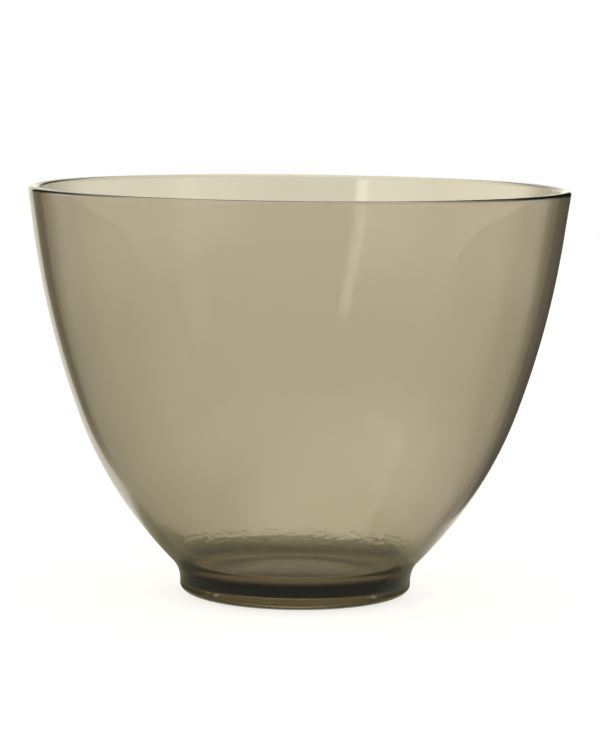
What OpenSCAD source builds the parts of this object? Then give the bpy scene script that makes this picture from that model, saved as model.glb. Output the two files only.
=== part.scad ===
// Flexible mixing bowl, moulded in one piece of see-through rubber.
//
// The bowl is one solid of revolution, turned from a single section. The section's
// outline runs from the recess under the base, round the foot, up the outside to the
// rim, and down the inside to the floor. Each wall line, and the line of the floor, is a
// pair of arcs, tangent to each other and to the lines that they join, worked out from
// its two ends and their leans. So the wall stays smooth when a size is changed.

/* [Bowl] */
// Width across the rim
rim_d = 130; // [105:1:155]
// Height from the resting face to the top of the rim
height = 98.6; // [80:0.2:120]

/* [Wall] */
// Thickness of the wall at the rim, measured level
rim_wall = 2.5; // [2:0.1:3.2]
// Thickness of the wall where it meets the base
base_wall = 2.5; // [1.8:0.1:4]
// Lean of the straight band under the rim, in degrees from the vertical
rim_lean = 8.3; // [5:0.1:12]
// Lean of the wall where it meets the foot, in degrees from the vertical
base_lean = 45; // [36:1:50]
// Height of the straight band under the rim
band_h = 12.6; // [5:0.2:20]

/* [Rim] */
// Rounding of the rim's outer edge
rim_round = 0.4; // [0.1:0.05:0.8]
// Width of the rounding of the rim's inner edge
lip_w = 1.4; // [0.4:0.1:1.8]
// Height of the rounding of the rim's inner edge
lip_h = 1; // [0.4:0.1:3]

/* [Foot] */
// Width across the upright side of the foot
foot_d = 55.8; // [48:0.2:66]
// Height at which the foot's side starts to flare into the wall
foot_side_h = 3.4; // [2.8:0.1:5]
// Radius of the hollow flare from the foot into the wall
foot_flare = 7.6; // [4:0.2:10]
// Width of the rounding at the foot's lower edge
foot_edge_w = 5; // [1:0.2:7]
// Height of the rounding at the foot's lower edge
foot_edge_h = 2.5; // [0.8:0.1:2.8]
// Width of the flat ring that the bowl rests on
land_w = 1; // [0.6:0.1:3]

/* [Base] */
// Thickness of the base at its middle, over the recess
floor_t = 4.4; // [3.5:0.1:6]
// Depth of the recess in the underside
recess_h = 2.8; // [1.4:0.1:3.4]
// Rounding at the recess's lower edge and in its corner
recess_round = 0.4; // [0.2:0.05:0.7]

/* [Hidden] */

smoky_rubber = [0.66, 0.61, 0.49, 0.75];

// Steps in one arc of the wall, in one rounded edge, and in the whole turn
arc_steps = 14;
edge_steps = 5;
turn_steps = 180;

// Leans of a line from the vertical: upright, level, and down the inside
upright = 0;
level = 90;
inside = 180;

// Half turn, in degrees, under which an arc counts as a straight line
straight_turn = 0.001;

rim_r = rim_d / 2;
foot_r = foot_d / 2;
recess_r = foot_r - foot_edge_w - land_w - recess_round;
floor_z = recess_h + floor_t;

// Way out of the rubber, square to a line that leans by a
function outward(a) = [cos(a), -sin(a)];

// Way up along a line that leans by a
function upward(a) = [sin(a), cos(a)];

// Lean of the straight line from p to q
function chord_lean(p, q) = atan2(q[0] - p[0], q[1] - p[1]);

// Point at height z on the straight line through p that leans by a
function at_height(p, a, z) = [p[0] + (z - p[1]) * tan(a), z];

// A list in the other order
function backwards(points) = [for (i = [len(points) - 1 : -1 : 0]) points[i]];

// Arc about a centre, from where its line leans by a to where it leans by b.
// A negative radius puts the centre on the outer side, for a hollow.
function arc(centre, radius, a, b, steps = edge_steps) =
    [for (i = [0 : steps]) centre + radius * outward(a + (b - a) * i / steps)];

// The same on an upright oval of half width w and half height h
function oval_arc(centre, w, h, a, b, steps = edge_steps) =
    [for (point = arc([0, 0], 1, a, b, steps)) centre + [w * point[0], h * point[1]]];

// Share of an arc's chord that a share of the arc spans, for half the arc's turn
function chord_share(half_turn, share) =
    abs(half_turn) < straight_turn ? share : sin(half_turn * share) / sin(half_turn);

// Arc from p, where its line leans by a, to q, without the point p itself
function arc_to(p, q, a) =
    let (half_turn = chord_lean(p, q) - a)
    [
        for (i = [1 : arc_steps])
            let (share = i / arc_steps)
            p + norm(q - p) * chord_share(half_turn, share) * upward(a + half_turn * share)
    ];

// Where two tangent arcs meet that lead from p, leaning by a, to q, leaning by b
function meeting_point(p, q, a, b) =
    let (
        chord = q - p,
        ways = upward(a) + upward(b),
        k = 2 * (1 - upward(a) * upward(b)),
        reach = (sqrt(pow(chord * ways, 2) + k * (chord * chord)) - chord * ways) / k
    )
    (p + q + reach * (upward(a) - upward(b))) / 2;

// Those two arcs, from p to q, without the point p itself
function wall_line(p, q, a, b) =
    let (
        m = meeting_point(p, q, a, b),
        lean = 2 * chord_lean(p, m) - a
    )
    concat(arc_to(p, m, a), arc_to(m, q, lean));

// Outer wall line, from the top of the flare to the bottom of the straight band
flare_centre = [foot_r + foot_flare, foot_side_h];
outer_start = flare_centre - foot_flare * outward(base_lean);
rim_edge_centre = [rim_r - rim_round, height - rim_round];
outer_top = rim_edge_centre + rim_round * outward(rim_lean);
outer_end = at_height(outer_top, rim_lean, height - band_h);

// Inner wall line, each end one wall thickness in from the outer one
inner_start = outer_start - base_wall * outward(base_lean);
inner_end = outer_end - [rim_wall, 0];
inner_top = at_height(inner_end, rim_lean, height - lip_h);

// Recess of the underside, from the axis out to the resting ring
function recess() = concat(
    [[0, recess_h]],
    arc([recess_r - recess_round, recess_h - recess_round], recess_round, -level, upright),
    arc([recess_r + recess_round, recess_round], recess_round, inside, level)
);

// Rounded lower edge of the foot, its upright side and its flare
function foot() = concat(
    oval_arc([foot_r - foot_edge_w, foot_edge_h], foot_edge_w, foot_edge_h, level, upright, arc_steps),
    arc(flare_centre, -foot_flare, upright, base_lean, arc_steps)
);

// Rounded outer edge of the rim, and its softer inner edge, from the outside in
function rim() = concat(
    arc(rim_edge_centre, rim_round, rim_lean, -level),
    oval_arc(inner_top + [lip_w, 0], lip_w, lip_h, -level, -inside)
);

// Inside of the base, from the wall in to the axis. It is hollow all round and rises a
// little in the middle.
function floor_line() =
    let (middle = [0, floor_z])
    concat(backwards(wall_line(middle, inner_start, level, base_lean)), [middle]);

function section() = concat(
    recess(),
    foot(),
    wall_line(outer_start, outer_end, base_lean, rim_lean),
    rim(),
    backwards(wall_line(inner_start, inner_end, base_lean, rim_lean)),
    floor_line()
);

module bowl()
    color(smoky_rubber)
        rotate_extrude($fn = turn_steps)
            polygon(section());

bowl();
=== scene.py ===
"""Looks of the rubber mixing bowl: its skin, its smoky see-through rubber, the studio and the camera.

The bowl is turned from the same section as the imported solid, in finer steps, and closed, so that light
bends and dims in it as in the real rubber. Only the rim's outer edge is softer than the solid's, and the
inside has fine wrinkles near the edge of its floor. Sizes of the bowl are written in millimetres and turned
into metres when the mesh is made. All other lengths are in metres.

Headings are angles in degrees round the bowl's axis. Straight behind the bowl is 0, its right side is 90,
its left side is -90, and straight before it is 180. Tilts are angles in degrees over the horizon.
"""

import math
import bpy
import numpy as np
from mathutils import Matrix, Vector, noise


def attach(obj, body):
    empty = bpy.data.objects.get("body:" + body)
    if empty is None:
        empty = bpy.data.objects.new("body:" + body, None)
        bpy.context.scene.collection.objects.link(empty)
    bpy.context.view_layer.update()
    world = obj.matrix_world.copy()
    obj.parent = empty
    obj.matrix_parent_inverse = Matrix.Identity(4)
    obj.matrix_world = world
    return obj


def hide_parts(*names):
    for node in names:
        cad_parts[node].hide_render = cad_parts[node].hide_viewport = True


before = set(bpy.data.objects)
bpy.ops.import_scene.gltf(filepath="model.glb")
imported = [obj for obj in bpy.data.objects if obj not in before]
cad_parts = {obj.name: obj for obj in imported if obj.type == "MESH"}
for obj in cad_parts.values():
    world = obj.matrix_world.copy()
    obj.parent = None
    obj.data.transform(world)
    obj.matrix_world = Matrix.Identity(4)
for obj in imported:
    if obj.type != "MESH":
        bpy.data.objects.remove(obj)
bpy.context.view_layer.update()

MM = 0.001

# Sizes of the bowl in millimetres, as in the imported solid
RIM_R = 65.0
HEIGHT = 98.6
RIM_WALL = 2.5
BASE_WALL = 2.5
RIM_LEAN = math.radians(8.3)
BASE_LEAN = math.radians(45)
BAND_H = 12.6
LIP_W = 1.4
LIP_H = 1.0
FOOT_R = 27.9
FOOT_SIDE_H = 3.4
FOOT_FLARE = 7.6
FOOT_EDGE_W = 5.0
FOOT_EDGE_H = 2.5
LAND_W = 1.0
FLOOR_T = 4.4
RECESS_H = 2.8
RECESS_ROUND = 0.4

# Rounding of the rim's outer edge, softer than the solid's
RIM_ROUND = 0.9

# Steps of the mesh: in a wall arc, in a middling rounding, in a small rounding, in the straight band under
# the rim, and round the bowl
WALL_STEPS = 24
EDGE_STEPS = 14
ROUND_STEPS = 6
BAND_STEPS = 8
TURN_STEPS = 384

# Last steps of the floor's line and first steps of the wall's that the wrinkles reach, and how many finer
# ones each is cut into
FLOOR_FINE_STEPS, FLOOR_CUTS = 7, 4
WALL_FINE_STEPS, WALL_CUTS = 1, 8

# Leans of a line from the vertical: upright, level, and down the inside
UPRIGHT = 0.0
LEVEL = math.pi / 2
INSIDE = math.pi

# Half turn under which an arc counts as a straight line
STRAIGHT_TURN = 1e-5

# Wrinkles on the back half of the inside, near the floor's edge: the heights that they lie between, over
# which height they fade out at those, and how far behind the axis they are in full
WRINKLES_LOW, WRINKLES_HIGH = 0.0083, 0.0112
WRINKLES_SOFT = 0.0008
WRINKLES_BACK = 0.012

# How fine the wrinkles are round the bowl and upwards, how high they are, and how many layers they have,
# each so much finer than the one before and fainter by that to the power of the fade
WRINKLES_PER_RADIAN = 15.0
WRINKLES_PER_METRE = 1500.0
WRINKLES_DEPTH = 2.4e-4
WRINKLES_LAYERS = 3
WRINKLES_FINER = 2.0
WRINKLES_FADE = 1.0

# How much the wrinkles are twisted, and where in the noise the twist along and across them comes from
WRINKLES_TWIST = 0.8
TWIST_PLACES = (Vector((31.7, 5.3, 11.9)), Vector((7.1, 43.9, 23.3)))


def outward(lean):
    """Way out of the rubber, square to a line with that lean."""
    return np.array([math.cos(lean), -math.sin(lean)])


def upward(lean):
    """Way up along a line with that lean."""
    return np.array([math.sin(lean), math.cos(lean)])


def chord_lean(p, q):
    """Lean of the straight line from p to q."""
    return math.atan2(q[0] - p[0], q[1] - p[1])


def at_height(point, lean, height):
    """Where the straight line through a point, with that lean, comes to a height."""
    return point + (height - point[1]) / math.cos(lean) * upward(lean)


def arc(centre, radius, start, end, steps):
    """Arc between two leans of its line. A negative radius makes it hollow."""
    leans = np.linspace(start, end, steps + 1)
    return [np.asarray(centre) + radius * outward(lean) for lean in leans]


def oval_arc(centre, width, height, start, end, steps):
    """The same on an upright oval, given by its half width and half height."""
    unit = arc([0, 0], 1, start, end, steps)
    return [np.asarray(centre) + point * [width, height] for point in unit]


def finer_end(steps, cuts):
    """Shares of an arc for its points, with the last few of its steps cut into finer ones."""
    split = 1 - steps / WALL_STEPS
    coarse = np.linspace(0, split, WALL_STEPS - steps + 1)[1:]
    fine = np.linspace(split, 1, steps * cuts + 1)[1:]
    return np.concatenate([coarse, fine])


def finer_start(steps, cuts):
    """The same with the first few of its steps cut."""
    return 1 - np.concatenate([[0], finer_end(steps, cuts)])[::-1][1:]


# Shares of an arc at which it has its points: evenly, and finer where the wrinkles are
EVEN = np.linspace(0, 1, WALL_STEPS + 1)[1:]
FLOOR_SHARES = finer_end(FLOOR_FINE_STEPS, FLOOR_CUTS)
WALL_SHARES = finer_start(WALL_FINE_STEPS, WALL_CUTS)


def arc_to(p, q, lean, shares):
    """Arc from p, where it has that lean, to q, and its lean there. p itself isn't in the list."""
    half_turn = chord_lean(p, q) - lean
    points = []
    for share in shares:
        is_straight = abs(half_turn) < STRAIGHT_TURN
        chord_share = share if is_straight else math.sin(half_turn * share) / math.sin(half_turn)
        way = upward(lean + half_turn * share)
        points.append(p + np.linalg.norm(q - p) * chord_share * way)
    return points, lean + 2 * half_turn


def wall_line(p, q, start, end, first_shares=EVEN, second_shares=EVEN):
    """The two tangent arcs that lead from p to q with a lean at each end. p itself isn't in the list."""
    chord = q - p
    ways = upward(start) + upward(end)
    k = 2 * (1 - upward(start) @ upward(end))
    reach = (math.sqrt((chord @ ways) ** 2 + k * (chord @ chord)) - chord @ ways) / k
    middle = (p + q + reach * (upward(start) - upward(end))) / 2
    first, lean = arc_to(p, middle, start, first_shares)
    second, _ = arc_to(middle, q, lean, second_shares)
    return first + second


def straight(p, q, steps):
    """Points between p and q, closer together towards both ends."""
    shares = (1 - np.cos(np.linspace(0, math.pi, steps + 2)[1:-1])) / 2
    return [p + share * (q - p) for share in shares]


# Ends of the outer wall line, from the top of the flare to the straight band, and top of that band
FLARE_CENTRE = np.array([FOOT_R + FOOT_FLARE, FOOT_SIDE_H])
OUTER_START = FLARE_CENTRE - FOOT_FLARE * outward(BASE_LEAN)
RIM_EDGE_CENTRE = np.array([RIM_R - RIM_ROUND, HEIGHT - RIM_ROUND])
OUTER_TOP = RIM_EDGE_CENTRE + RIM_ROUND * outward(RIM_LEAN)
OUTER_END = at_height(OUTER_TOP, RIM_LEAN, HEIGHT - BAND_H)

# The same on the inside, each end one wall thickness in from the outer one
INNER_START = OUTER_START - BASE_WALL * outward(BASE_LEAN)
INNER_END = OUTER_END - [RIM_WALL, 0]
INNER_TOP = at_height(INNER_END, RIM_LEAN, HEIGHT - LIP_H)


def recess():
    """Recess of the underside, from the axis out to the resting ring."""
    recess_r = FOOT_R - FOOT_EDGE_W - LAND_W - RECESS_ROUND
    corner = [recess_r - RECESS_ROUND, RECESS_H - RECESS_ROUND]
    edge = [recess_r + RECESS_ROUND, RECESS_ROUND]
    line = [np.array([0, RECESS_H]), np.array([recess_r / 2, RECESS_H])]
    line += arc(corner, RECESS_ROUND, -LEVEL, UPRIGHT, ROUND_STEPS)
    return line + arc(edge, RECESS_ROUND, INSIDE, LEVEL, ROUND_STEPS)


def foot():
    """Rounded lower edge of the foot, its upright side and its flare."""
    centre = [FOOT_R - FOOT_EDGE_W, FOOT_EDGE_H]
    line = oval_arc(centre, FOOT_EDGE_W, FOOT_EDGE_H, LEVEL, UPRIGHT, EDGE_STEPS)
    return line + arc(FLARE_CENTRE, -FOOT_FLARE, UPRIGHT, BASE_LEAN, EDGE_STEPS)


def rim():
    """Straight band under the rim, and the rim's rounded edges, from the outside in."""
    line = straight(OUTER_END, OUTER_TOP, BAND_STEPS)
    line += arc(RIM_EDGE_CENTRE, RIM_ROUND, RIM_LEAN, -LEVEL, ROUND_STEPS)
    return line + oval_arc(INNER_TOP + [LIP_W, 0], LIP_W, LIP_H, -LEVEL, -INSIDE, EDGE_STEPS)


def inner_wall():
    """Inside of the wall, from just under the rim's rounding down to the floor's edge."""
    line = straight(INNER_TOP, INNER_END, BAND_STEPS)
    return line + wall_line(INNER_START, INNER_END, BASE_LEAN, RIM_LEAN, first_shares=WALL_SHARES)[::-1]


def floor_line():
    """Inside of the base, from the wall in to the axis."""
    middle = np.array([0, RECESS_H + FLOOR_T])
    return wall_line(middle, INNER_START, LEVEL, BASE_LEAN, second_shares=FLOOR_SHARES)[::-1] + [middle]


def section():
    """Outline of the section, from the axis under the base, round the outside, to the axis on the floor."""
    outer_wall = wall_line(OUTER_START, OUTER_END, BASE_LEAN, RIM_LEAN)
    return np.array(recess() + foot() + outer_wall + rim() + inner_wall() + floor_line())


# Rows of the mesh that lie on the inside of the bowl. The floor's middle point is in no row.
INSIDE_ROWS = len(inner_wall()) + len(floor_line()) - 1


def smooth_step(value, low, high):
    """0 where value is under low, 1 where it is over high, and a soft step between them."""
    share = min(max((value - low) / (high - low), 0.0), 1.0)
    return share * share * (3 - 2 * share)


def wrinkle(x, y, z):
    """Height of the wrinkles at a place on the inside, all in metres."""
    half = WRINKLES_SOFT / 2
    up = smooth_step(z, WRINKLES_LOW - half, WRINKLES_LOW + half)
    down = smooth_step(z, WRINKLES_HIGH - half, WRINKLES_HIGH + half)
    amount = (up - down) * smooth_step(y, 0.0, WRINKLES_BACK)
    if amount <= 0:
        return 0.0
    place = Vector((math.atan2(y, x) * WRINKLES_PER_RADIAN, z * WRINKLES_PER_METRE, 0.0))
    along, across = (noise.noise(place + shift) for shift in TWIST_PLACES)
    place += WRINKLES_TWIST * Vector((along, across, 0.0))
    swing = noise.fractal(place, WRINKLES_FADE, WRINKLES_FINER, WRINKLES_LAYERS)
    return WRINKLES_DEPTH * amount * swing


def add_wrinkles(points, ring):
    """Moves the inside's points by the wrinkles, square to the surface."""
    for row in range(len(ring) - INSIDE_ROWS, len(ring) - 1):
        along = ring[row + 1] - ring[row - 1]
        along /= np.linalg.norm(along)
        for i in range(row * TURN_STEPS, (row + 1) * TURN_STEPS):
            x, y, z = points[i]
            height = wrinkle(x, y, z)
            if height:
                reach = math.hypot(x, y)
                points[i] += height * np.array([x / reach * along[1], y / reach * along[1], -along[0]])


def turned_points(outline):
    """Points of the outline turned round the axis, in metres, and last those of its two ends."""
    ring = outline[1:-1]
    turn = np.linspace(0, 2 * math.pi, TURN_STEPS, endpoint=False)
    x = ring[:, :1] * np.cos(turn)
    y = ring[:, :1] * np.sin(turn)
    z = np.broadcast_to(ring[:, 1:], x.shape)
    ends = [[0, 0, outline[0][1]], [0, 0, outline[-1][1]]]
    points = np.concatenate([np.stack([x, y, z], axis=-1).reshape(-1, 3), ends]) * MM
    add_wrinkles(points, ring)
    return points


def turned_faces(rows):
    """Faces between the rows, and those that close the mesh at its two end points."""
    here = np.arange(TURN_STEPS)
    after = np.roll(here, -1)
    faces = []
    for row in range(rows - 1):
        low = row * TURN_STEPS
        high = low + TURN_STEPS
        faces += list(zip(low + here, low + after, high + after, high + here))
    bottom = rows * TURN_STEPS
    top = bottom + 1
    last = bottom - TURN_STEPS
    faces += [(bottom, b, a) for a, b in zip(here, after)]
    faces += [(last + a, last + b, top) for a, b in zip(here, after)]
    return [tuple(int(i) for i in face) for face in faces]


def turned_mesh(name, outline):
    """Closed mesh of an outline turned round the axis, on which its first and last points lie."""
    rows = len(outline) - 2
    mesh = bpy.data.meshes.new(name)
    mesh.from_pydata([tuple(point) for point in turned_points(outline)], [], turned_faces(rows))
    outside = (rows - INSIDE_ROWS) * TURN_STEPS
    marks = [0.0] * outside + [1.0] * (INSIDE_ROWS * TURN_STEPS) + [0.0, 1.0]
    mesh.attributes.new("inside", "FLOAT", "POINT").data.foreach_set("value", marks)
    mesh.shade_smooth()
    return mesh


def node(tree, kind, **settings):
    """New node of a kind, with settings such as its operation."""
    new = tree.nodes.new(kind)
    for key, value in settings.items():
        setattr(new, key, value)
    return new


def math_node(tree, operation, *values):
    """Result of a math node on values that are sockets or plain numbers."""
    new = node(tree, "ShaderNodeMath", operation=operation)
    for socket, value in zip(new.inputs, values):
        if isinstance(value, bpy.types.NodeSocket):
            tree.links.new(value, socket)
        else:
            socket.default_value = value
    return new.outputs[0]


def parts_of(tree, vector):
    """The three parts of a vector."""
    parts = node(tree, "ShaderNodeSeparateXYZ")
    tree.links.new(vector, parts.inputs[0])
    return parts.outputs[0], parts.outputs[1], parts.outputs[2]


def noise_of(tree, place, scale, detail=None):
    """Noise between 0 and 1, at places that are multiplied by the scale."""
    new = node(tree, "ShaderNodeTexNoise")
    new.inputs["Scale"].default_value = scale
    if detail is not None:
        new.inputs["Detail"].default_value = detail
    tree.links.new(place, new.inputs["Vector"])
    return new.outputs["Fac"]


def rise(tree, value, low, high):
    """0 where value is under low, 1 where it is over high, and a soft step between them."""
    step = node(tree, "ShaderNodeMapRange", interpolation_type="SMOOTHSTEP")
    tree.links.new(value, step.inputs["Value"])
    step.inputs["From Min"].default_value = low
    step.inputs["From Max"].default_value = high
    return step.outputs["Result"]


def fall(tree, value, low, high):
    """1 where value is under low, 0 where it is over high, and a soft step between them."""
    return math_node(tree, "SUBTRACT", 1.0, rise(tree, value, low, high))


def span(tree, value, low, high, soft):
    """1 where value lies from low to high, and 0 outside, with soft ends."""
    up = rise(tree, value, low - soft / 2, low + soft / 2)
    down = rise(tree, value, high - soft / 2, high + soft / 2)
    return math_node(tree, "SUBTRACT", up, down)


def hill(tree, value, up, down):
    """Soft step up over one range of value, and down again over another."""
    return math_node(tree, "SUBTRACT", rise(tree, value, *up), rise(tree, value, *down))


def blend(tree, share, low, high):
    """low where share is 0, and high where it is 1."""
    change = math_node(tree, "SUBTRACT", high, low)
    return math_node(tree, "MULTIPLY_ADD", share, change, low)


def past(tree, value, start):
    """How far value lies over start, and 0 under it."""
    return math_node(tree, "MAXIMUM", math_node(tree, "SUBTRACT", value, start), 0.0)


def heading(tree, x, y):
    """Heading of a way, from its parts to the right and to the back."""
    return math_node(tree, "DEGREES", math_node(tree, "ARCTAN2", x, y))


# Skin of the rubber: how satin it is all over and on the floor, and the relief of its grain and of its
# faint upright lines
SATIN = 0.02
SATIN_CHANGE = 0.03
CLOUD_SCALE = 60.0
FLOOR_SATIN = 0.20
FLOOR_SATIN_RANGE = (0.0074, 0.0085)
GRAIN_SCALE = 1400.0
GRAIN_DETAIL = 3.0
GRAIN_DEPTH = 1.0e-6
LINES_PER_RADIAN = 40.0
LINES_PER_METRE = 30.0
LINES_DEPTH = 1.0e-5

# How much the rubber dims red, green and blue light per metre, each less than its density, how strongly it
# bends light, and how much of its surface is clear
DIMMING = (156.0, 180.0, 234.0)
DENSITY = 400.0
IOR = 1.5
TRANSMISSION = 0.99

# What the light keeps on its way through the bowl into the shadow
SHADOW_COLOUR = (0.80, 0.77, 0.66, 1)


def skin_height(tree, place):
    """Height of the skin over its plain shape: fine grain and faint upright lines."""
    grain = noise_of(tree, place, GRAIN_SCALE, GRAIN_DETAIL)
    height = math_node(tree, "MULTIPLY", grain, GRAIN_DEPTH)
    x, y, z = parts_of(tree, place)
    turn = math_node(tree, "ARCTAN2", y, x)
    across = node(tree, "ShaderNodeCombineXYZ")
    tree.links.new(math_node(tree, "MULTIPLY", turn, LINES_PER_RADIAN), across.inputs[0])
    tree.links.new(math_node(tree, "MULTIPLY", z, LINES_PER_METRE), across.inputs[1])
    lines = noise_of(tree, across.outputs[0], 1.0)
    return math_node(tree, "MULTIPLY_ADD", lines, LINES_DEPTH, height)


def skin_satin(tree, place):
    """Roughness of the skin, a little cloudy all over and rougher on the floor inside the bowl."""
    inside = node(tree, "ShaderNodeAttribute", attribute_name="inside").outputs["Fac"]
    height = parts_of(tree, place)[2]
    on_floor = math_node(tree, "MULTIPLY", fall(tree, height, *FLOOR_SATIN_RANGE), inside)
    clouds = noise_of(tree, place, CLOUD_SCALE)
    satin = math_node(tree, "MULTIPLY_ADD", clouds, SATIN_CHANGE, SATIN)
    return math_node(tree, "MULTIPLY_ADD", on_floor, FLOOR_SATIN, satin)


def rubber_surface(tree):
    """See-through rubber with its satin and relief, which lets tinted light through to its shadow."""
    body = node(tree, "ShaderNodeBsdfPrincipled")
    body.inputs["Base Color"].default_value = (1, 1, 1, 1)
    body.inputs["IOR"].default_value = IOR
    body.inputs["Transmission Weight"].default_value = TRANSMISSION
    place = node(tree, "ShaderNodeTexCoord").outputs["Object"]
    tree.links.new(skin_satin(tree, place), body.inputs["Roughness"])
    bump = node(tree, "ShaderNodeBump")
    # Its height is a true height in metres
    bump.inputs["Distance"].default_value = 1.0
    tree.links.new(skin_height(tree, place), bump.inputs["Height"])
    tree.links.new(bump.outputs["Normal"], body.inputs["Normal"])

    shadow = node(tree, "ShaderNodeBsdfTransparent")
    shadow.inputs["Color"].default_value = SHADOW_COLOUR
    path = node(tree, "ShaderNodeLightPath")
    mix = node(tree, "ShaderNodeMixShader")
    tree.links.new(path.outputs["Is Shadow Ray"], mix.inputs[0])
    tree.links.new(body.outputs[0], mix.inputs[1])
    tree.links.new(shadow.outputs[0], mix.inputs[2])
    return mix.outputs[0]


def rubber_material():
    """Smoky rubber, whose colour comes from how deep the light goes through it."""
    material = bpy.data.materials.new("smoky_rubber")
    material.use_nodes = True
    tree = material.node_tree
    tree.nodes.clear()
    out = node(tree, "ShaderNodeOutputMaterial")
    tree.links.new(rubber_surface(tree), out.inputs["Surface"])
    dim = node(tree, "ShaderNodeVolumeAbsorption")
    dim.inputs["Density"].default_value = DENSITY
    dim.inputs["Color"].default_value = (*[1 - dimming / DENSITY for dimming in DIMMING], 1)
    tree.links.new(dim.outputs[0], out.inputs["Volume"])
    return material


# The studio. Where two values are a range, a soft step goes from one to the other. First its tint, how soft
# the borders of its bright parts are, and the tilts over which its walls end.
STUDIO_TINT = (1.0, 0.976, 0.842)
SOFT_BORDER = 6.0
WALL_TILTS = (25, 45)

# Bright wall behind the bowl, as reflections see it: its headings and level
BACK_LEFT, BACK_RIGHT = -26.0, 10.0
BACK_LEVEL = 1.3

# Soft lamp before the bowl. It and the main lamp on the left end at the same tilts.
FRONT_AROUND = (100, 150)
FRONT_LEVEL = 1.1
LOW_TILTS = (8, 26)

# Lamp on the left, whose front edge slants, with a strip along that edge, and a taller, weaker lamp over it
SLANT = 0.44
LEFT_EDGE = (-148, -143)
LEFT_END = (-70, -38)
LEFT_LEVEL = 1.8
STRIP_HEADINGS = (-148, -142.8)
STRIP_SOFT = 2.5
STRIP_TILTS = (-2, 24)
STRIP_TILT_SOFT = 4
STRIP_LEVEL = 2.2
TALL_EDGE = (-115, -95)
TALL_END = (-60, -42)
TALL_TILTS = (30, 55)
TALL_LEVEL = 0.5

# Lamp on the right, with a weak strip
RIGHT_EDGE = (36, 76)
RIGHT_END = (125, 172)
RIGHT_TILTS = (8, 19)
RIGHT_LEVEL = 1.8
RIGHT_STRIP_HEADINGS = (120, 132)
RIGHT_STRIP_SOFT = 6
RIGHT_STRIP_TILTS = (5, 24)
RIGHT_STRIP_TILT_SOFT = 5
RIGHT_STRIP_LEVEL = 0.5

# Ceiling, and the lamp overhead, which leans to the left
CEILING_TILTS = (34, 38)
CEILING_LEVEL = 0.35
OVERHEAD_TILTS = (36, 76)
OVERHEAD_SWAY = -25.0
OVERHEAD_LEVEL = 1.9

# The studio as it is seen through the rubber
CLEAR_LEFT, CLEAR_RIGHT = -27.0, 14.0
CLEAR_BACK_LEVEL = 0.965
CLEAR_AROUND = (42, 64)
CLEAR_LEVEL = 0.45

# The table as reflections see it, lit with painted light: levels before, beside and behind the bowl, where
# they change, and a painted pool of light at the right of the foot
FRONT_TABLE_LEVEL = 0.8
SIDE_TABLE_LEVEL = 0.40
FAR_TABLE_LEVEL = 0.80
FAR_TABLE_RANGE = (0.2, 0.4)
BEHIND_TABLE_LEVEL = 0.05
BEHIND_AROUND = (46, 70)
BEFORE_AROUND = (95, 130)
LIGHT_POOL_LEVEL = 0.5
LIGHT_POOL_START = (0.035, 0.065)
LIGHT_POOL_END = (0.09, 0.15)
LIGHT_POOL_AROUND = (80, 100)

# How far to the left and right of the bowl's axis the table's painted bright sector starts, and how far
# behind it
SECTOR_LEFT_EDGE, SECTOR_RIGHT_EDGE = 0.058, 0.050
SECTOR_START = (0, 0.05)

# Where the table's shade under the bowl ends, how much sooner it does so to the right, and how much
# steeper at the back
SHADE_START, SHADE_END = 0.048, 0.097
SHADE_SKEW_START = 0.03
SHADE_SKEW = 3.0
BACK_SHADE_END = 0.055
BACK_SHADE_START = (0.02, 0.05)
BACK_SHADE_STEEPNESS = 1.5

# Colours of the bowl's painted shade on the table, and of a painted ring of light under its foot, by
# distance from the middle
SHADE_AND_LIGHT_RINGS = [
    (0.0000, (0.20, 0.18, 0.09)),
    (0.0195, (0.20, 0.18, 0.09)),
    (0.0215, (0.76, 0.76, 0.66)),
    (0.0250, (0.76, 0.76, 0.66)),
    (0.0262, (0.44, 0.40, 0.20)),
    (0.0283, (0.44, 0.40, 0.20)),
    (0.0298, (0.13, 0.125, 0.08)),
    (0.0325, (0.13, 0.125, 0.08)),
    (0.0360, (0.25, 0.24, 0.155)),
    (0.0450, (0.26, 0.25, 0.165)),
    (0.0520, (0.37, 0.36, 0.255)),
    (0.0970, STUDIO_TINT),
]

# The table as the camera sees it: a grey that takes the bowl's shadow, and a glow that makes it white
TABLE_R = 1.2
TABLE_CORNERS = 128
TABLE_GREY = 0.5
TABLE_GLOW = 0.70

# Levels of the world as the camera and the table's grey see it
WHITE_LEVEL = 1.0
ROOM_LEVEL = 0.75


def sector(tree, x, y, left, right):
    """1 between two headings, seen from the bowl's sides, and 0 outside them and before the bowl."""
    half = SOFT_BORDER / 2
    from_left = heading(tree, math_node(tree, "ADD", x, SECTOR_LEFT_EDGE), y)
    from_right = heading(tree, math_node(tree, "SUBTRACT", x, SECTOR_RIGHT_EDGE), y)
    inside_left = rise(tree, from_left, left - half, left + half)
    outside_right = rise(tree, from_right, right - half, right + half)
    between = math_node(tree, "SUBTRACT", inside_left, outside_right)
    return math_node(tree, "MULTIPLY", between, rise(tree, y, *SECTOR_START))


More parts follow.
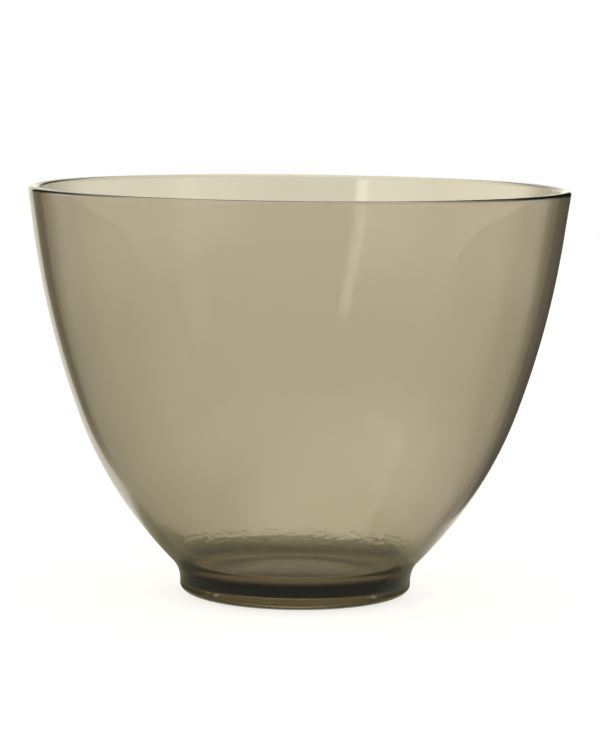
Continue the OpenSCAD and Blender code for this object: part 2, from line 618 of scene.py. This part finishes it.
def mirrored_table(tree, x, y, far):
    """Painted light level of the table in reflections."""
    around = math_node(tree, "ABSOLUTE", heading(tree, x, y))
    # Painted light on the table: dark behind the bowl but for a bright sector, dimmer beside it, brighter
    # before it and far off
    level = blend(tree, rise(tree, far, *FAR_TABLE_RANGE), SIDE_TABLE_LEVEL, FAR_TABLE_LEVEL)
    level = blend(tree, rise(tree, around, *BEHIND_AROUND), BEHIND_TABLE_LEVEL, level)
    level = blend(tree, rise(tree, around, *BEFORE_AROUND), level, FRONT_TABLE_LEVEL)
    # Painted pool of light on the table at the right of the foot
    light_pool = math_node(tree, "SUBTRACT", rise(tree, x, *LIGHT_POOL_START), rise(tree, far, *LIGHT_POOL_END))
    light_pool = math_node(tree, "MAXIMUM", light_pool, 0.0)
    light_pool = math_node(tree, "MULTIPLY", light_pool, rise(tree, around, *LIGHT_POOL_AROUND))
    level = math_node(tree, "MULTIPLY_ADD", light_pool, LIGHT_POOL_LEVEL, level)
    return blend(tree, sector(tree, x, y, BACK_LEFT, BACK_RIGHT), level, 1.0)


def clear_table(tree, x, y):
    """Painted light level of the table seen through the rubber."""
    return blend(tree, sector(tree, x, y, CLEAR_LEFT, CLEAR_RIGHT), CLEAR_LEVEL, CLEAR_BACK_LEVEL)


def shade_reach(tree, x, y, far):
    """Distance from the middle, stretched to the right and at the back, where the shade ends sooner."""
    reach = math_node(tree, "MULTIPLY_ADD", past(tree, x, SHADE_SKEW_START), SHADE_SKEW, far)
    behind = math_node(tree, "MULTIPLY", past(tree, far, BACK_SHADE_END), rise(tree, y, *BACK_SHADE_START))
    return math_node(tree, "MULTIPLY_ADD", behind, BACK_SHADE_STEEPNESS, reach)


def painted_shade_colour(tree, reach):
    """Painted shade and light of the table by that distance."""
    shade = node(tree, "ShaderNodeValToRGB")
    rings = shade.color_ramp
    rings.interpolation = "EASE"
    for distance, colour in SHADE_AND_LIGHT_RINGS[1:-1]:
        rings.elements.new(distance / SHADE_END).color = (*colour, 1)
    rings.elements[0].color = (*SHADE_AND_LIGHT_RINGS[0][1], 1)
    rings.elements[-1].color = (*SHADE_AND_LIGHT_RINGS[-1][1], 1)
    tree.links.new(math_node(tree, "DIVIDE", reach, SHADE_END), shade.inputs["Fac"])
    return shade.outputs["Color"]


def white_table(tree):
    """The table as the camera sees it, white but for the bowl's shadow."""
    matt = node(tree, "ShaderNodeBsdfDiffuse")
    matt.inputs["Color"].default_value = (TABLE_GREY, TABLE_GREY, TABLE_GREY, 1)
    lift = node(tree, "ShaderNodeEmission")
    lift.inputs["Strength"].default_value = TABLE_GLOW
    white = node(tree, "ShaderNodeAddShader")
    tree.links.new(matt.outputs[0], white.inputs[0])
    tree.links.new(lift.outputs[0], white.inputs[1])
    return white.outputs[0]


def glowing_table(tree, path):
    """The table as the rubber shows it, in reflections and through its wall, glowing with painted light and
    the bowl's painted shade.
    """
    position = node(tree, "ShaderNodeNewGeometry").outputs["Position"]
    x, y, _ = parts_of(tree, position)
    squares = math_node(tree, "ADD", math_node(tree, "MULTIPLY", x, x), math_node(tree, "MULTIPLY", y, y))
    far = math_node(tree, "SQRT", squares)
    reach = shade_reach(tree, x, y, far)
    mirrored = mirrored_table(tree, x, y, far)
    level = blend(tree, path.outputs["Is Transmission Ray"], mirrored, clear_table(tree, x, y))
    # Near the bowl the table glows in full with the colours of the bowl's painted shade and light
    level = blend(tree, rise(tree, reach, SHADE_START, SHADE_END), 1.0, level)
    glow = node(tree, "ShaderNodeEmission")
    tree.links.new(painted_shade_colour(tree, reach), glow.inputs["Color"])
    tree.links.new(level, glow.inputs["Strength"])
    return glow.outputs[0]


def table_material():
    """White for the camera, and for rays that come from the bowl the painted light and shade that the
    rubber shows.
    """
    material = bpy.data.materials.new("studio_floor")
    material.use_nodes = True
    tree = material.node_tree
    tree.nodes.clear()
    out = node(tree, "ShaderNodeOutputMaterial")
    path = node(tree, "ShaderNodeLightPath")
    mirrored, through = path.outputs["Is Glossy Ray"], path.outputs["Is Transmission Ray"]
    from_bowl = math_node(tree, "MAXIMUM", mirrored, through)
    mix = node(tree, "ShaderNodeMixShader")
    tree.links.new(from_bowl, mix.inputs[0])
    tree.links.new(white_table(tree), mix.inputs[1])
    tree.links.new(glowing_table(tree, path), mix.inputs[2])
    tree.links.new(mix.outputs[0], out.inputs["Surface"])
    return material


def make_table():
    """Round table under the bowl, far wider than the picture."""
    mesh = bpy.data.meshes.new("studio_floor")
    turn = np.linspace(0, 2 * math.pi, TABLE_CORNERS, endpoint=False)
    points = [(TABLE_R * math.cos(a), TABLE_R * math.sin(a), 0) for a in turn]
    mesh.from_pydata(points, [], [tuple(range(len(points)))])
    table = bpy.data.objects.new("studio_floor", mesh)
    bpy.context.scene.collection.objects.link(table)
    mesh.materials.append(table_material())


def front_lamp(tree, way, low):
    """Level of the lamp before the bowl."""
    before = rise(tree, math_node(tree, "ABSOLUTE", way), *FRONT_AROUND)
    return math_node(tree, "MULTIPLY", math_node(tree, "MULTIPLY", low, before), FRONT_LEVEL)


def left_lamps(tree, way, tilt, low, level):
    """Level with the lamps on the left added to it."""
    slanted = math_node(tree, "MULTIPLY_ADD", tilt, SLANT, way)
    left = math_node(tree, "SUBTRACT", rise(tree, slanted, *LEFT_EDGE), rise(tree, way, *LEFT_END))
    level = math_node(tree, "MULTIPLY_ADD", math_node(tree, "MULTIPLY", left, low), LEFT_LEVEL, level)
    across = hill(tree, way, TALL_EDGE, TALL_END)
    tall = math_node(tree, "MULTIPLY", across, fall(tree, tilt, *TALL_TILTS))
    level = math_node(tree, "MULTIPLY_ADD", tall, TALL_LEVEL, level)
    across = span(tree, slanted, *STRIP_HEADINGS, STRIP_SOFT)
    strip = math_node(tree, "MULTIPLY", across, span(tree, tilt, *STRIP_TILTS, STRIP_TILT_SOFT))
    return math_node(tree, "MULTIPLY_ADD", strip, STRIP_LEVEL, level)


def right_lamps(tree, way, tilt, level):
    """Level with the lamps on the right added to it."""
    across = hill(tree, way, RIGHT_EDGE, RIGHT_END)
    right = math_node(tree, "MULTIPLY", across, fall(tree, tilt, *RIGHT_TILTS))
    level = math_node(tree, "MULTIPLY_ADD", right, RIGHT_LEVEL, level)
    across = span(tree, way, *RIGHT_STRIP_HEADINGS, RIGHT_STRIP_SOFT)
    strip = math_node(tree, "MULTIPLY", across, span(tree, tilt, *RIGHT_STRIP_TILTS, RIGHT_STRIP_TILT_SOFT))
    return math_node(tree, "MULTIPLY_ADD", strip, RIGHT_STRIP_LEVEL, level)


def overhead(tree, tilt, x, level):
    """Level with the ceiling and the lamp overhead added to it."""
    level = math_node(tree, "MULTIPLY_ADD", rise(tree, tilt, *CEILING_TILTS), CEILING_LEVEL, level)
    leftward = math_node(tree, "MULTIPLY_ADD", x, OVERHEAD_SWAY, tilt)
    return math_node(tree, "MULTIPLY_ADD", rise(tree, leftward, *OVERHEAD_TILTS), OVERHEAD_LEVEL, level)


def lamps(tree, way, tilt, x):
    """Level of all lamps beside, before and over the bowl, for a heading and a tilt."""
    low = fall(tree, tilt, *LOW_TILTS)
    level = front_lamp(tree, way, low)
    level = left_lamps(tree, way, tilt, low, level)
    level = right_lamps(tree, way, tilt, level)
    return overhead(tree, tilt, x, level)


def mirrored_room(tree, way, low, around):
    """Level of the room in reflections."""
    back = math_node(tree, "MULTIPLY", span(tree, way, BACK_LEFT, BACK_RIGHT, SOFT_BORDER), low)
    return blend(tree, back, around, BACK_LEVEL)


def clear_room(tree, way, low, around):
    """Level of the room seen through the rubber."""
    beside = fall(tree, math_node(tree, "ABSOLUTE", way), *CLEAR_AROUND)
    level = blend(tree, math_node(tree, "MULTIPLY", beside, low), around, CLEAR_LEVEL)
    back = math_node(tree, "MULTIPLY", span(tree, way, CLEAR_LEFT, CLEAR_RIGHT, SOFT_BORDER), low)
    return blend(tree, back, level, CLEAR_BACK_LEVEL)


def room_level(tree, path):
    """Level of the room, for each kind of ray."""
    x, y, z = parts_of(tree, node(tree, "ShaderNodeTexCoord").outputs["Generated"])
    way = heading(tree, x, y)
    tilt = math_node(tree, "DEGREES", math_node(tree, "ARCSINE", z))
    low = fall(tree, tilt, *WALL_TILTS)
    around = lamps(tree, way, tilt, x)
    mirrored = mirrored_room(tree, way, low, around)
    clear = clear_room(tree, way, low, around)
    level = blend(tree, path.outputs["Is Transmission Ray"], mirrored, clear)
    level = blend(tree, path.outputs["Is Camera Ray"], level, WHITE_LEVEL)
    return blend(tree, path.outputs["Is Diffuse Ray"], level, ROOM_LEVEL)


def make_world():
    """The studio round the bowl, plain white where the camera sees it."""
    world = bpy.data.worlds.new("studio")
    bpy.context.scene.world = world
    world.use_nodes = True
    tree = world.node_tree
    tree.nodes.clear()
    out = node(tree, "ShaderNodeOutputWorld")
    path = node(tree, "ShaderNodeLightPath")
    tint = node(tree, "ShaderNodeMix", data_type="RGBA")
    tint.inputs["A"].default_value = (*STUDIO_TINT, 1)
    tint.inputs["B"].default_value = (1, 1, 1, 1)
    tree.links.new(path.outputs["Is Camera Ray"], tint.inputs["Factor"])
    sky = node(tree, "ShaderNodeBackground")
    tree.links.new(tint.outputs["Result"], sky.inputs["Color"])
    tree.links.new(room_level(tree, path), sky.inputs["Strength"])
    tree.links.new(sky.outputs[0], out.inputs["Surface"])


# Camera: its place, how far it looks down and is turned, and its focal length in pixels of a picture of
# that width
CAMERA_PLACE = (0.0006137, -0.760, 0.1363403)
CAMERA_DOWN = 0.109
CAMERA_ROLL = 0.0115
FOCAL_PIXELS = 3169.3
PICTURE_PIXELS = 600
SENSOR_W_MM = 36
CLIP_START = 0.01


def make_camera():
    """The photograph's camera."""
    data = bpy.data.cameras.new("photo_camera")
    data.sensor_fit = "HORIZONTAL"
    data.sensor_width = SENSOR_W_MM
    data.lens = FOCAL_PIXELS / PICTURE_PIXELS * SENSOR_W_MM
    data.clip_start = CLIP_START
    camera = bpy.data.objects.new("photo_camera", data)
    bpy.context.scene.collection.objects.link(camera)
    tilt = Matrix.Rotation(math.pi / 2 - CAMERA_DOWN, 4, "X")
    roll = Matrix.Rotation(CAMERA_ROLL, 4, "Z")
    camera.matrix_world = Matrix.Translation(CAMERA_PLACE) @ tilt @ roll
    bpy.context.scene.camera = camera


def make_bowl():
    """The bowl itself, in place of the plain solid."""
    mesh = turned_mesh("bowl_skin", section())
    bowl = bpy.data.objects.new("bowl_skin", mesh)
    bpy.context.scene.collection.objects.link(bowl)
    mesh.materials.append(rubber_material())
    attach(bowl, "root")
    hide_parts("bowl")


make_camera()
make_world()
make_table()
make_bowl()
bpy.context.scene.view_settings.view_transform = "Standard"
